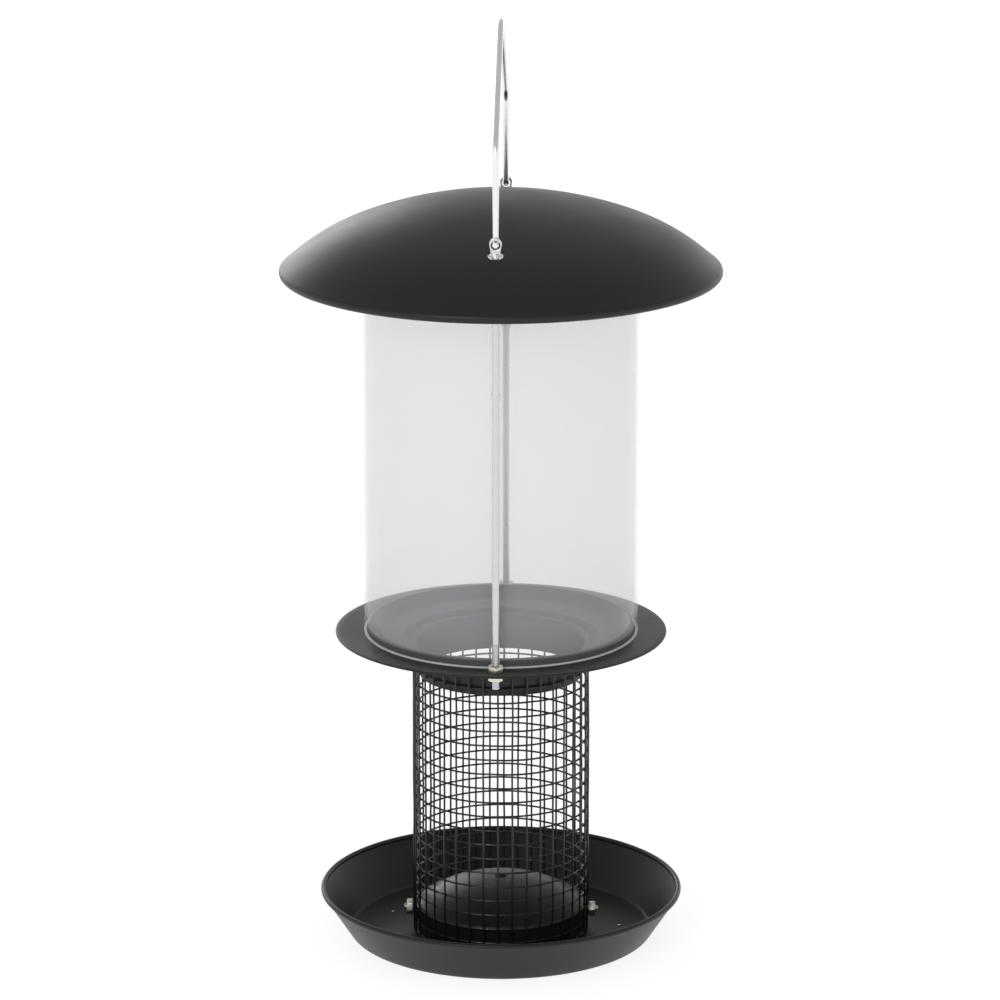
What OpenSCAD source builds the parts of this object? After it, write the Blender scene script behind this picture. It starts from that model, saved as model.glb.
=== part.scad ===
// Hanging bird feeder: a clear seed tube between a domed roof and a seed tray,
// above a wire-mesh cylinder that stands in a catch tray. A wire bail hangs it
// from the tops of two tie rods, and the roof slides up the bail for filling.
// Origin: centre of the catch tray's foot. +Z is up, the rods lie on the Y axis.

/* [Seed tube] */
// Outside diameter of the clear tube
tube_od = 138; // [120:1:150]
// Wall of the clear tube
tube_wall = 1.5; // [1:0.1:3]
// Height of the clear tube
tube_h = 209.6; // [150:0.1:260]

/* [Roof] */
// Diameter over the rolled rim
roof_d = 220; // [195:1:260]
// Radius of the crown over the tube
crown_r = 203; // [180:1:260]
// Radius of the shoulder between crown and rim
shoulder_r = 106; // [98:1:160]
// Diameter of the rolled rim
roof_bead_d = 5; // [3:0.1:7]

/* [Seed tray] */
// Height of the brim's top face over the foot
brim_z = 160; // [130:1:200]
// Flat brim beyond the rods
brim_margin = 8.5; // [6:0.5:14]
// Height of the ridge that the tube stands around
ridge_h = 4.2; // [3:0.1:6]
// Drop from the brim to the seed pan
pan_drop = 2; // [1:0.1:4]
// Depth of the neck below the brim
neck_drop = 22.5; // [19:0.5:35]

/* [Mesh] */
// Outside diameter of the wire mesh
mesh_od = 90; // [76:1:96]
// Diameter of the mesh wire
mesh_wire_d = 1; // [0.8:0.1:1.4]
// Spacing of the mesh wires
mesh_pitch = 7.45; // [6.8:0.05:9]

/* [Catch tray] */
// Diameter over the tray's lip
tray_d = 184; // [170:1:220]
// Diameter of the flat foot
foot_d = 153; // [140:1:165]
// Height of the tray
tray_h = 24; // [19:0.5:36]
// Height of the boss's crown over the foot
boss_h = 28; // [27:0.5:34]
// Rise of the boss's crown over its wall
boss_rise = 12.7; // [10:0.1:14]
// Number of drain holes
drain_count = 7; // [4:1:9]
// Diameter of a drain hole
drain_d = 3.2; // [2:0.1:5]
// Hole in the boss's crown
boss_hole_d = 6; // [3:0.1:10]

/* [Tie rods and bail] */
// Diameter of the thread at a tie rod's foot
rod_d = 4; // [3.7:0.1:4.4]
// Diameter of a tie rod above its thread
shank_d = 3.5; // [3:0.1:3.6]
// Distance from the tube's outside to a rod's centre
rod_offset = 6; // [5.5:0.1:8]
// Diameter of the bail's wire
bail_wire_d = 3.2; // [2.6:0.1:3.4]
// Height of the bail's eye over the roof tube's end
eye_rise = 4.3; // [4.3:0.1:9]
// Height of the bail from the eyes to its top
bail_h = 97.1; // [90:0.1:130]
// Slope of the bail's arms
bail_slope = 35; // [25:1:40]

/* [Sheet and fasteners] */
// Thickness of the sheet metal
sheet = 1; // [0.8:0.1:1.4]
// Width across the flats of a nut
nut_af = 7; // [7:0.1:8]
// Height of a nut
nut_h = 3.2; // [2.4:0.1:4]

/* [Hidden] */
$fn = 96;
arc_steps = 6;

// Clearances
roof_gap = 0.3;       // between the tube's end and the roof that rests over it
ridge_gap = 0.4;      // inside the tube, around the ridge
thread_gap = 0.03;    // around a thread in its nut
hole_gap = 0.3;       // around a rod or screw in its hole
mesh_gap = 0.1;       // between the mesh and the neck or boss inside it
roof_hole_gap = 0.3;  // around the upper ears and the bail's hook in the roof's hole
eye_gap = 0.6;        // around the bail's wire in its eye
leg_gap = 0.2;        // between the bail's leg and the tab

// Catch tray
lip_d = 2.6;
foot_bend = 3;
boss_bend = 1.2;
boss_ro = mesh_od / 2 - 2 * mesh_wire_d - 3 * mesh_gap;
boss_ri = boss_ro - sheet;
boss_crown_r = (pow(boss_ro, 2) + pow(boss_rise, 2)) / (2 * boss_rise);
boss_centre_z = boss_h - boss_crown_r;
boss_wall_z = boss_h - boss_rise;
boss_hole_ri = boss_hole_d / 2;
drain_pcr = (mesh_od / 2 + foot_d / 2) / 2;
drain_turn = 5;

// Tray screws, as high in the boss as their heads go
screw_head_d = 7;
screw_head_h = 2.4;
screw_head_gap = 0.3;
screw_proud = 1.5;
screw_head_x = sqrt(pow(boss_ri, 2) - pow(screw_head_d / 2, 2)) - 0.05;
screw_z = boss_centre_z + sqrt(pow(boss_crown_r - sheet, 2) - pow(boss_ri, 2))
    - screw_head_d / 2 - screw_head_gap;
tray_nut_x = mesh_od / 2 + 0.05;

// Seed tray, with heights from the brim's top face
tube_ro = tube_od / 2;
rod_y = tube_ro + rod_offset;
brim_r = rod_y + brim_margin;
ridge_r = tube_ro - tube_wall - ridge_gap;
ridge_foot_bend = 0.3;
ridge_bend = sheet + 0.1;
ridge_top_r = ridge_r - 2 * ridge_bend - 0.1;
neck_ro = mesh_od / 2 - 2 * mesh_wire_d - mesh_gap;
neck_ri = neck_ro - sheet;
neck_bend = 3.5;
neck_taper = 1.4;
pan_bend = 1;
pan_fall = 1.3;       // over the pan's width, so that seed runs inwards
step_w = 1.5;
step_h = 2.2;
lip_w = neck_bend + 2.1;
lip_fall = 0.5;
pan_ri = neck_ri + lip_w + step_w;
pan_ro = pan_ri + (ridge_top_r - pan_ri) * 0.7;
lip_drop = pan_drop + pan_fall + step_h;

// Mesh
wire_r = mesh_wire_d / 2;
upright_pcr = mesh_od / 2 - wire_r;
hoop_pcr = upright_pcr - mesh_wire_d;
upright_count = 2 * round(PI * upright_pcr / mesh_pitch);
mesh_top = brim_z - lip_drop - lip_fall - neck_bend - 0.5;
first_hoop_z = screw_z - mesh_pitch / 2;
hoop_count = floor((mesh_top - wire_r - first_hoop_z) / mesh_pitch) + 1;

// Roof
tube_top = brim_z + tube_h;
crown_ri = crown_r - sheet;
crown_centre_z = tube_top + roof_gap - sqrt(pow(crown_ri, 2) - pow(tube_ro, 2));
crown_angle = asin(rod_y / crown_r);
shoulder_centre = [0, crown_centre_z] + (crown_r - shoulder_r) * [sin(crown_angle), cos(crown_angle)];
bead_r = roof_bead_d / 2;
bead_pcr = roof_d / 2 - bead_r;
shoulder_angle = asin((bead_pcr - shoulder_centre[0]) / shoulder_r);
roof_edge_z = shoulder_centre[1] + shoulder_r * cos(shoulder_angle);
bead_z = roof_edge_z - bead_r - sheet / 2;

// Tie rods
rod_bottom = brim_z - sheet - nut_h - 4.6;
rod_bevel = 0.5;
thread_top = brim_z + 14.8;
eye_z = tube_top + eye_rise;
eye_d = bail_wire_d + 2 * eye_gap;
tab_wall = 0.9;       // around the eye
tab_w = eye_d + 2 * tab_wall;
tab_t = 1.6;
tab_rise = 0.6;
waist_w = shank_d + 1.5;
waist_z = eye_z - 2.8;
tab_bottom = eye_z - 5.6;
ear_t = 1.5;
high_ear_w = shank_d + 3.3;
high_ear_h = 2.8;
high_ear_z = eye_z - 5;
low_ear_w = shank_d + 1.2;
low_ear_h = 4;
low_ear_z = tube_top - 70;

// Bail, in the plane of the rods
bail_wire_r = bail_wire_d / 2;
leg_y = rod_y - tab_t / 2 - leg_gap - bail_wire_r;
hook_bend = 2.4;
bend_swell = 0.04;    // a bend is this much thicker than the straight wire
bend_lap = 0.25;      // the straight wire runs this far into a bend
hook_end_y = rod_y + 1.1;
arm_bend = 10;
apex_bend = 12;
apex_centre_z = eye_z + bail_h - bail_wire_r - apex_bend;
arm_top = [apex_bend * sin(bail_slope), apex_centre_z + apex_bend * cos(bail_slope)];
arm_low_y = leg_y - arm_bend * (1 - sin(bail_slope));
arm_low = [arm_low_y, arm_top[1] - (arm_low_y - arm_top[0]) * tan(bail_slope)];
leg_top = arm_low[1] - arm_bend * cos(bail_slope);

// Holes in the roof, wide enough for the upper ears and for the bail's leg with its hook
roof_hole_y = (leg_y + hook_end_y) / 2;
roof_hole_r = roof_hole_gap + max((hook_end_y - leg_y) / 2 + bail_wire_r,
                                  norm([high_ear_w / 2, rod_y - roof_hole_y + ear_t / 2]));

// Unit vector along v
function unit(v) = v / norm(v);
// Vector v turned by angle a
function turned(v, a) = [v[0] * cos(a) - v[1] * sin(a), v[0] * sin(a) + v[1] * cos(a)];
// Right-hand normal of v
function right(v) = [v[1], -v[0]];

// Arc that rounds the corner b of the line a, b, c with radius r
function corner(a, b, c, r) =
    let (u = unit(a - b), v = unit(c - b), half = acos(u * v) / 2)
    let (centre = b + unit(u + v) * r / sin(half))
    let (start = b + u * r / tan(half) - centre, end = b + v * r / tan(half) - centre)
    let (sweep = (180 - 2 * half) * sign(start[0] * end[1] - start[1] * end[0]))
    [for (i = [0:arc_steps]) centre + turned(start, sweep * i / arc_steps)];

// A line whose corners are rounded; each entry is [r, z, bend radius]
function bent(line) =
    [for (i = [0:len(line) - 1])
        each line[i][2] == 0
            ? [[line[i][0], line[i][1]]]
            : corner([line[i - 1][0], line[i - 1][1]], [line[i][0], line[i][1]],
                     [line[i + 1][0], line[i + 1][1]], line[i][2])];

// The line moved sideways by t, to its right, with no point past the axis
function beside(line, t) =
    let (last = len(line) - 1)
    [for (i = [0:last])
        let (before = right(unit(i == 0 ? line[1] - line[0] : line[i] - line[i - 1])))
        let (after = right(unit(i == last ? line[i] - line[i - 1] : line[i + 1] - line[i])))
        let (point = line[i] + t * (before + after) / (1 + before * after))
        [max(point[0], 0), point[1]]];

// Spun sheet metal: the line is one face and the thickness lies on its right
module spun(line, t) {
    other = beside(line, t);
    rotate_extrude()
        polygon(concat(line, [for (i = [len(other) - 1:-1:0]) other[i]]));
}

// Hexagon nut with its axis on Z, standing on the origin
module nut() {
    corner_r = nut_af / 2 / cos(30);
    bevel = 0.35;
    difference() {
        intersection() {
            cylinder(r = corner_r, h = nut_h, $fn = 6);
            rotate_extrude()
                polygon([[0, 0], [nut_af / 2, 0], [corner_r, bevel], [corner_r, nut_h - bevel],
                         [nut_af / 2, nut_h], [0, nut_h]]);
        }
        translate([0, 0, -1])
            cylinder(d = rod_d + 2 * thread_gap, h = nut_h + 2);
    }
}

// Two wings pinched out of a rod's sides, w over both and h high, centred on height z
module ears(z, w, h) {
    rotate([90, 0, 0])
        linear_extrude(ear_t, center = true)
            polygon([for (s = [-1, 1]) each [[s * w / 2, z - s * h / 6],
                                              [s * w / 2, z + s * h / 6],
                                              [s * shank_d / 4, z + s * h / 2],
                                              [-s * shank_d / 4, z + s * h / 2]]]);
}

// Tie rod on the Z axis, flattened at the top into a tab with an eye
module rod() {
    difference() {
        union() {
            translate([0, 0, rod_bottom + rod_bevel])
                cylinder(d = rod_d, h = thread_top - rod_bottom - rod_bevel);
            translate([0, 0, thread_top - 1])
                cylinder(d = shank_d, h = tab_bottom + 1 - thread_top + 1);
            translate([0, 0, rod_bottom])
                cylinder(d1 = rod_d - 2 * rod_bevel, d2 = rod_d, h = rod_bevel);
            ears(low_ear_z, low_ear_w, low_ear_h);
            ears(high_ear_z, high_ear_w, high_ear_h);
            rotate([90, 0, 0])
                linear_extrude(tab_t, center = true) {
                    polygon([[-waist_w / 2, tab_bottom],
                             [waist_w / 2, tab_bottom],
                             [waist_w / 2, waist_z],
                             [tab_w / 2, eye_z + tab_rise],
                             [-tab_w / 2, eye_z + tab_rise],
                             [-waist_w / 2, waist_z]]);
                    translate([0, eye_z + tab_rise])
                        circle(d = tab_w);
                }
        }
        translate([0, 0, eye_z])
            rotate([90, 0, 0])
                cylinder(d = eye_d, h = 10, center = true);
    }
}

// Straight wire between two [y, z] points of the bail's plane, run on by lap at both ends
module bar(from, to, lap = bend_lap) {
    step = to - from;
    translate([0, from[0], from[1]])
        rotate([-atan2(step[0], step[1]), 0, 0])
            translate([0, 0, -lap])
                cylinder(d = bail_wire_d, h = norm(step) + 2 * lap, $fn = 48);
}

// Bent wire in the bail's plane around a [y, z] centre
module bend(centre, radius, from, sweep) {
    translate([0, centre[0], centre[1]])
        rotate([90, 0, 90])
            rotate([0, 0, from])
                rotate_extrude(angle = sweep)
                    translate([radius, 0])
                        circle(d = bail_wire_d + bend_swell, $fn = 48);
}

// One side of the bail, from the hook in the eye to the apex's bend
module bail_side() {
    hook_centre = [leg_y + hook_bend, eye_z + hook_bend];
    translate([0, hook_end_y, eye_z])
        sphere(d = bail_wire_d, $fn = 48);
    bar([hook_centre[0] - bend_lap, eye_z], [hook_end_y, eye_z], 0);
    bend(hook_centre, hook_bend, 180, 90);
    bar([leg_y, hook_centre[1]], [leg_y, leg_top]);
    bend([leg_y - arm_bend, leg_top], arm_bend, 0, 90 - bail_slope);
    bar(arm_low, arm_top);
}

// Pan-head screw along +X, with its head towards the axis of the feeder
module tray_screw() {
    length = tray_nut_x + nut_h + screw_proud - screw_head_x;
    slot = [2.4, 0.8, screw_head_h];
    translate([screw_head_x, 0, screw_z])
        rotate([0, 90, 0])
            difference() {
                union() {
                    cylinder(d = rod_d, h = length);
                    translate([0, 0, -screw_head_h / 2])
                        cylinder(d = screw_head_d, h = screw_head_h / 2);
                    translate([0, 0, -screw_head_h])
                        cylinder(d1 = screw_head_d - 2, d2 = screw_head_d, h = screw_head_h / 2);
                }
                for (a = [0, 90])
                    rotate([0, 0, a])
                        translate([-slot[0] / 2, -slot[1] / 2, -screw_head_h * 1.5])
                            cube(slot);
            }
}

// Nut of a tray screw, outside the mesh
module tray_nut() {
    translate([tray_nut_x, 0, screw_z])
        rotate([0, 90, 0])
            nut();
}

// Spun catch tray with a hollow boss that the mesh stands around
module base_tray() {
    crown_step = asin(boss_ro / boss_crown_r) / arc_steps;
    crown = [for (i = [arc_steps:-1:0])
        [0, boss_centre_z] + boss_crown_r * [sin(i * crown_step), cos(i * crown_step)]];
    wall = bent([[tray_d / 2 - lip_d / 2 - sheet / 2, tray_h - lip_d / 2, 0],
                 [foot_d / 2 - sheet / 2, sheet, foot_bend],
                 [boss_ro, sheet, boss_bend],
                 [boss_ro, boss_wall_z, 0]]);
    color("dimgray")
        difference() {
            union() {
                spun(concat([for (i = [0:len(wall) - 2]) wall[i]], crown), -sheet);
                rotate_extrude()
                    translate([tray_d / 2 - lip_d / 2, tray_h - lip_d / 2])
                        circle(d = lip_d, $fn = 32);
            }
            translate([0, 0, boss_h - 3])
                cylinder(r = boss_hole_ri, h = 6);
            for (i = [0:drain_count - 1])
                rotate([0, 0, drain_turn + i * 360 / drain_count])
                    translate([drain_pcr, 0, -1])
                        cylinder(d = drain_d, h = sheet + 2);
            translate([-boss_ro - 1, 0, screw_z])
                rotate([0, 90, 0])
                    cylinder(d = rod_d + 2 * hole_gap, h = 2 * boss_ro + 2);
        }
}

// Upright wires of the welded mesh, outside the hoops
module mesh_uprights() {
    color("darkslategray")
        for (i = [0:upright_count - 1])
            rotate([0, 0, (i + 0.5) * 360 / upright_count])
                translate([upright_pcr, 0, sheet])
                    cylinder(r = wire_r, h = mesh_top - sheet, $fn = 16);
}

// Hoop wires of the welded mesh
module mesh_hoops() {
    color("darkslategray")
        for (i = [0:hoop_count - 1])
            translate([0, 0, first_hoop_z + i * mesh_pitch])
                rotate_extrude()
                    translate([hoop_pcr, 0])
                        circle(r = wire_r, $fn = 16);
}

// Spun seed tray: brim, ridge inside the tube, funnel and neck
module seed_tray() {
    line = bent([[brim_r, 0, 0],
                 [ridge_r, 0, ridge_foot_bend],
                 [ridge_r, ridge_h, ridge_bend],
                 [ridge_top_r, ridge_h, ridge_bend],
                 [pan_ro, -pan_drop, pan_bend],
                 [pan_ri, -pan_drop - pan_fall, pan_bend],
                 [neck_ri + lip_w, -lip_drop, pan_bend],
                 [neck_ri, -lip_drop - lip_fall, neck_bend],
                 [neck_ri, -neck_drop + 6, 0],
                 [neck_ri - neck_taper, -neck_drop, 0]]);
    color("dimgray")
        translate([0, 0, brim_z])
            difference() {
                spun(line, -sheet);
                for (side = [-1, 1])
                    translate([0, side * rod_y, -sheet - 1])
                        cylinder(d = rod_d + 2 * hole_gap, h = sheet + 2);
            }
}

// Clear seed tube standing on the seed tray's brim, around its ridge
module hopper_tube() {
    color("lightcyan", 0.4)
        translate([0, 0, brim_z])
            difference() {
                cylinder(r = tube_ro, h = tube_h);
                translate([0, 0, -1])
                    cylinder(r = tube_ro - tube_wall, h = tube_h + 2);
            }
}

// Domed roof with a rolled rim and a hole for each rod
module roof_dome() {
    shoulder_step = (shoulder_angle - crown_angle) / arc_steps;
    crown = [for (i = [0:2 * arc_steps])
        let (a = crown_angle * i / (2 * arc_steps))
        [0, crown_centre_z] + crown_r * [sin(a), cos(a)]];
    shoulder = [for (i = [1:arc_steps])
        let (a = crown_angle + i * shoulder_step)
        shoulder_centre + shoulder_r * [sin(a), cos(a)]];
    color("dimgray")
        difference() {
            union() {
                spun(concat(crown, shoulder), sheet);
                rotate_extrude()
                    translate([bead_pcr, bead_z])
                        circle(r = bead_r, $fn = 48);
            }
            for (side = [-1, 1])
                translate([0, side * roof_hole_y, tube_top - 20])
                    cylinder(r = roof_hole_r, h = 40);
        }
}

module front_rod() {
    color("silver")
        translate([0, -rod_y, 0])
            rod();
}

module rear_rod() {
    color("silver")
        translate([0, rod_y, 0])
            rod();
}

// Nut on top of the brim, on the given side of the feeder
module upper_nut(side) {
    color("silver")
        translate([0, side * rod_y, brim_z])
            nut();
}

// Nut under the brim, on the given side of the feeder
module lower_nut(side) {
    color("silver")
        translate([0, side * rod_y, brim_z - sheet - nut_h])
            nut();
}

// Wire bail, hooked outwards through the eyes of both rods
module bail() {
    color("gainsboro") {
        bend([0, apex_centre_z], apex_bend, 90 - bail_slope, 2 * bail_slope);
        bail_side();
        mirror([0, 1, 0])
            bail_side();
    }
}

module right_tray_screw() {
    color("silver")
        tray_screw();
}

module left_tray_screw() {
    color("silver")
        rotate([0, 0, 180])
            tray_screw();
}

module right_tray_nut() {
    color("silver")
        tray_nut();
}

module left_tray_nut() {
    color("silver")
        rotate([0, 0, 180])
            tray_nut();
}

base_tray();
mesh_uprights();
mesh_hoops();
seed_tray();
hopper_tube();
roof_dome();
front_rod();
rear_rod();
upper_nut(-1);  // front_upper_nut
lower_nut(-1);  // front_lower_nut
upper_nut(1);  // rear_upper_nut
lower_nut(1);  // rear_lower_nut
bail();
left_tray_screw();
right_tray_screw();
left_tray_nut();
right_tray_nut();
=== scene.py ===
"""Looks of a hanging bird feeder: black spun steel, a clear seed tube, welded mesh and a wire bail."""
import math

import bpy
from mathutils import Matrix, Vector


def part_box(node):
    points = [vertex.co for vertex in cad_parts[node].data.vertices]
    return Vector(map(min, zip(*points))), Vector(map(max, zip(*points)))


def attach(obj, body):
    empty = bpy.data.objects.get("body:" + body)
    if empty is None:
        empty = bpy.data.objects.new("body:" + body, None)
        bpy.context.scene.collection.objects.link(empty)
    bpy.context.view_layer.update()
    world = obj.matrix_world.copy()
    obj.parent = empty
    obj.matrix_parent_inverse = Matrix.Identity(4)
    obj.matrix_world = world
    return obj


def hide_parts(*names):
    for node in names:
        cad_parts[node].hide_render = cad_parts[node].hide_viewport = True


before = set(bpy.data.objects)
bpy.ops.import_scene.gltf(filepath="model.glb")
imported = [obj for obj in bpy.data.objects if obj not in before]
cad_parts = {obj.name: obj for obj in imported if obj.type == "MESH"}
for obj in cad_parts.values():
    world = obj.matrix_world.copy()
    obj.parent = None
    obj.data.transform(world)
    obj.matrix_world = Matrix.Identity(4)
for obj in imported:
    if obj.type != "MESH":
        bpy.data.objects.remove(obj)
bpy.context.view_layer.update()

# ---- Catch tray -------------------------------------------------------------------------------
# The dish at the foot that catches spilt seed. It is spun from thin sheet steel, with a rolled lip
# and a hollow boss that the mesh stands around, and powder coated black. Two screws hold the mesh.

SHEET = 0.001
SPIN_STEPS = 160
POLE_R = 0.0004


def start_piece():
    """Leaves nothing selected, so that an operator acts on the new piece alone."""
    if bpy.context.object and bpy.context.object.mode != "OBJECT":
        bpy.ops.object.mode_set(mode="OBJECT")
    bpy.ops.object.select_all(action="DESELECT")


def arc(centre, radius, start, end, steps):
    """Points of an arc from the start angle to the end angle, in degrees."""
    angles = [math.radians(start + (end - start) * i / steps) for i in range(steps + 1)]
    return [(centre[0] + radius * math.cos(a), centre[1] + radius * math.sin(a)) for a in angles]


def rounded(a, b, c, radius, steps=6):
    """Points of the arc that rounds the corner b of the line a, b, c."""
    a, b, c = Vector(a), Vector(b), Vector(c)
    u, v = (a - b).normalized(), (c - b).normalized()
    half = u.angle(v) / 2
    centre = b + (u + v).normalized() * radius / math.sin(half)
    first = b + u * radius / math.tan(half) - centre
    last = b + v * radius / math.tan(half) - centre
    turn = first.angle_signed(last)
    start = math.atan2(first.y, first.x)
    angles = [start - turn * i / steps for i in range(steps + 1)]
    return [(centre.x + radius * math.cos(a), centre.y + radius * math.sin(a)) for a in angles]


def beside(line, distance):
    """The line moved sideways to its right by a distance."""
    points = [Vector(p) for p in line]
    moved = []
    for i, p in enumerate(points):
        before = (p - points[i - 1]).normalized() if i else (points[1] - p).normalized()
        after = (points[i + 1] - p).normalized() if i < len(points) - 1 else before
        right = Vector((before.y, -before.x)), Vector((after.y, -after.x))
        q = p + distance * (right[0] + right[1]) / (1 + right[0].dot(right[1]))
        moved.append((max(q.x, 0.0), q.y))
    return moved


def spun(name, section, steps=SPIN_STEPS, closed=True):
    """Turns a section of (radius, height) points round the Z axis, ring by ring. A section that isn't
    closed starts and ends close to the axis, where its rings are merged to a pole."""
    start_piece()
    bpy.ops.mesh.primitive_circle_add(vertices=steps, radius=section[0][0], location=(0, 0, section[0][1]))
    piece = bpy.context.object
    piece.name = name
    bpy.ops.object.transform_apply(location=True, rotation=True, scale=True)
    bpy.ops.object.mode_set(mode="EDIT")
    for (r0, z0), (r1, z1) in zip(section, section[1:]):
        bpy.ops.mesh.extrude_region_move(TRANSFORM_OT_translate={"value": (0, 0, z1 - z0)})
        bpy.ops.transform.resize(value=(r1 / r0, r1 / r0, 1), center_override=(0, 0, z1))
    bpy.ops.object.mode_set(mode="OBJECT")
    last = len(piece.data.vertices) - steps
    ends = (lambda i: i < steps), (lambda i: i >= last)
    if closed:
        bpy.ops.object.mode_set(mode="EDIT")
        bpy.ops.mesh.select_mode(type="EDGE")
        bpy.ops.object.mode_set(mode="OBJECT")
        for e in piece.data.edges:
            e.select = any(all(end(i) for i in e.vertices) for end in ends)
        bpy.ops.object.mode_set(mode="EDIT")
        bpy.ops.mesh.bridge_edge_loops()
        bpy.ops.mesh.select_mode(type="VERT")
    else:
        for end in reversed(ends):
            for part in (piece.data.polygons, piece.data.edges):
                for element in part:
                    element.select = False
            for v in piece.data.vertices:
                v.select = end(v.index)
            bpy.ops.object.mode_set(mode="EDIT")
            bpy.ops.mesh.merge(type="CENTER")
            bpy.ops.object.mode_set(mode="OBJECT")
        bpy.ops.object.mode_set(mode="EDIT")
    bpy.ops.mesh.select_all(action="SELECT")
    bpy.ops.mesh.normals_make_consistent(inside=False)
    bpy.ops.object.mode_set(mode="OBJECT")
    return piece


def cut(piece, radius, depth, location, rotation=(0, 0, 0), sides=32):
    """Drills a round hole through a piece."""
    start_piece()
    bpy.ops.mesh.primitive_cylinder_add(
        vertices=sides, radius=radius, depth=depth, location=location, rotation=rotation
    )
    drill = bpy.context.object
    start_piece()
    bpy.context.view_layer.objects.active = piece
    hole = piece.modifiers.new("hole", "BOOLEAN")
    hole.operation = "DIFFERENCE"
    hole.object = drill
    bpy.ops.object.modifier_apply(modifier=hole.name)
    bpy.data.objects.remove(drill)


def finish_piece(piece, material, body, nodes=(), sharp=40):
    """Gives a piece its material, smooths it and fixes it to its body."""
    start_piece()
    piece.select_set(True)
    bpy.context.view_layer.objects.active = piece
    bpy.ops.object.shade_smooth_by_angle(angle=math.radians(sharp))
    piece.data.materials.clear()
    piece.data.materials.append(material)
    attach(piece, body)
    if nodes:
        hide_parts(*nodes)


class Value:
    """A shader socket that takes part in sums as a number does."""

    def __init__(self, material, socket):
        self.material = material
        self.socket = socket

    def maths(self, operation, *others):
        return self.material.node("ShaderNodeMath", {"operation": operation}, self, *others)[0]

    def __add__(self, other):
        return self.maths("ADD", other)

    def __mul__(self, other):
        return self.maths("MULTIPLY", other)

    def __sub__(self, other):
        return self.maths("SUBTRACT", other)

    def __rsub__(self, other):
        return self.material.node("ShaderNodeMath", {"operation": "SUBTRACT"}, other, self)[0]

    __radd__ = __add__
    __rmul__ = __mul__


class Finish:
    """A material under construction, with its nodes made one by one."""

    def __init__(self, name, **constants):
        self.made = bpy.data.materials.new(name)
        self.made.use_nodes = True
        self.tree = self.made.node_tree
        self.shader = self.tree.nodes["Principled BSDF"]
        for socket, value in constants.items():
            self.shader.inputs[socket.replace("_", " ")].default_value = value
        self.place = self.node("ShaderNodeTexCoord", {})[3]

    def node(self, kind, settings, *values, **named):
        """Makes a node, sets its settings, then its sockets in order or by name. Returns its outputs."""
        node = self.tree.nodes.new(kind)
        for key, value in settings.items():
            setattr(node, key, value)
        for socket, value in (*enumerate(values), *((k.replace("_", " "), v) for k, v in named.items())):
            if isinstance(value, Value):
                self.tree.links.new(value.socket, node.inputs[socket])
            elif value is not None:
                node.inputs[socket].default_value = value
        return [Value(self, output) for output in node.outputs]

    def noise(self, scale, detail=3, roughness=0.5, stretch=(1, 1, 1)):
        """Noise in the piece's own space, with its scale in features per metre."""
        place = self.node("ShaderNodeMapping", {}, self.place, Scale=stretch)[0]
        return self.node(
            "ShaderNodeTexNoise", {}, place, Scale=scale, Detail=detail, Roughness=roughness
        )[0]

    def between(self, value, low, high, to_low=0, to_high=1):
        """Stretches a value from one range to another and clamps it."""
        return self.node("ShaderNodeMapRange", {}, value, low, high, to_low, to_high)[0]

    def blend(self, mask, first, second):
        """A colour between two colours."""
        mix = self.node("ShaderNodeMix", {"data_type": "RGBA"}, mask)
        node = mix[0].socket.node
        for socket, colour in ((node.inputs[6], first), (node.inputs[7], second)):
            if isinstance(colour, Value):
                self.tree.links.new(colour.socket, socket)
            else:
                socket.default_value = (*colour, 1)
        return mix[2]

    def bump(self, height, distance, strength=1.0, under=None):
        """A bump of a height map; distance is the height of a value of 1, in metres."""
        values = {"Strength": strength, "Distance": distance, "Height": height}
        if under:
            values["Normal"] = under
        return self.node("ShaderNodeBump", {}, **values)[0]

    def set(self, **links):
        for socket, value in links.items():
            self.tree.links.new(value.socket, self.shader.inputs[socket.replace("_", " ")])
        return self.made


def clean_coat(name):
    """Satin black powder coat with a fine orange peel and cloudy gloss, before any dust. Returns the
    material, its clouds, its colour, its gloss and its surface."""
    coat = Finish(name, Metallic=0.0, IOR=1.38)
    peel = coat.noise(1500, detail=2)
    grain = coat.noise(5200, detail=1)
    cloud = coat.noise(28, detail=4, roughness=0.6)
    colour = coat.blend(cloud, (0.0075, 0.0075, 0.0082), (0.0125, 0.0125, 0.0132))
    gloss = coat.between(cloud, 0.3, 0.7, 0.36, 0.44) + (grain - 0.5) * 0.06
    surface = coat.bump(peel, 0.00003, 0.5)
    surface = coat.bump(grain, 0.000008, 0.5, under=surface)
    return coat, cloud, colour, gloss, surface


def powder_coat():
    """Powder coat with a little settled dust."""
    coat, _, colour, gloss, surface = clean_coat("black_powder_coat")
    dust_and_painted_light = coat.between(coat.noise(900, detail=5, roughness=0.7), 0.62, 0.78)
    colour = coat.blend(dust_and_painted_light * 0.25, colour, (0.06, 0.058, 0.055))
    return coat.set(Base_Color=colour, Roughness=gloss + dust_and_painted_light * 0.1, Normal=surface)


black_coat = powder_coat()

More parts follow.
